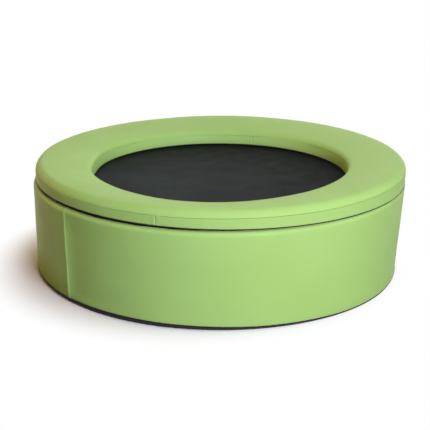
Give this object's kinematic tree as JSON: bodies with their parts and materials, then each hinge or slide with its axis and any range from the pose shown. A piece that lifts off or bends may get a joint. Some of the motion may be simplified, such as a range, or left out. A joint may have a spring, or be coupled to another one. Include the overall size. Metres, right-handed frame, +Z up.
{
  "type": "trampoline",
  "caption": "Round soft-play trampoline: a black sprung mat in a steel ring on legs, inside a tall green padded foam base, with a ring-shaped foam lid over the springs.",
  "frame": {"origin": "on the floor, below the middle of the mat", "axes": "+Z up along the ring's axis, -Y towards the front of the picture"},
  "size_m": [1.3, 1.3, 0.3836],
  "materials": {
    "green_vinyl": "satin",
    "lining_vinyl": "satin",
    "grip_sheet": "matte",
    "foam": "matte",
    "mat_weave": "matte",
    "webbing": "matte",
    "hook_and_loop": "matte",
    "zip_tape": "matte",
    "slider_metal": "satin",
    "ring_paint": "satin",
    "leg_paint": "satin",
    "foot_rubber": "matte",
    "zinc_steel": "satin",
    "spring_steel": "satin"
  },
  "bodies": {
    "frame": {"ring_tube_1": "ring_paint", "ring_tube_2": "ring_paint", "ring_tube_3": "ring_paint", "ring_tube_4": "ring_paint", "ring_tube_5": "ring_paint", "ring_tube_6": "ring_paint", "leg_1": "leg_paint", "leg_2": "leg_paint", "leg_3": "leg_paint", "leg_4": "leg_paint", "leg_5": "leg_paint", "leg_6": "leg_paint", "leg_foot_1": "foot_rubber", "leg_foot_2": "foot_rubber", "leg_foot_3": "foot_rubber", "leg_foot_4": "foot_rubber", "leg_foot_5": "foot_rubber", "leg_foot_6": "foot_rubber", "leg_bolts": "zinc_steel", "leg_nuts": "zinc_steel", "joint_screws": "zinc_steel", "springs": "spring_steel"},
    "bed": {"mat": "mat_weave", "mat_edge_tape": "webbing", "mat_loops": "webbing", "mat_rings": "zinc_steel"},
    "surround": {"base_foam_back": "foam", "base_foam_front": "foam", "base_cover_side": "green_vinyl", "base_cover_top": "grip_sheet", "base_cover_lining": "lining_vinyl", "base_cover_bottom": "grip_sheet", "base_hook_pads": "hook_and_loop", "base_zip": "zip_tape"},
    "base_slider": {"base_zip_slider": "slider_metal"},
    "lid": {"lid_foam_left": "foam", "lid_foam_right": "foam", "lid_cover_top": "green_vinyl", "lid_cover_outer_band": "green_vinyl", "lid_cover_inner_band": "green_vinyl", "lid_cover_bottom": "grip_sheet", "lid_loop_pads": "hook_and_loop", "lid_zip": "zip_tape"},
    "lid_slider": {"lid_zip_slider": "slider_metal"}
  },
  "joints": [
    {"name": "bed_bounce", "type": "slide", "parent": "frame", "child": "bed", "axis": [0, 0, 1], "range_m": [-0.12, 0], "stiffness_N_per_m": 5000, "springref_m": 0.004, "deforming": ["springs"]},
    {"name": "surround_lift", "type": "slide", "parent": "frame", "child": "surround", "axis": [0, 0, 1], "range_m": [0, 0.42]},
    {"name": "lid_lift", "type": "slide", "parent": "surround", "child": "lid", "axis": [0, 0, 1], "range_m": [0, 0.25]},
    {"name": "base_zip_run", "type": "hinge", "parent": "surround", "child": "base_slider", "pos_m": [0, 0, 0.045], "axis": [0, 0, 1], "range_deg": [0, 195]},
    {"name": "lid_zip_run", "type": "hinge", "parent": "lid", "child": "lid_slider", "pos_m": [0, 0, 0.316], "axis": [0, 0, 1], "range_deg": [0, 195]}
  ]
}
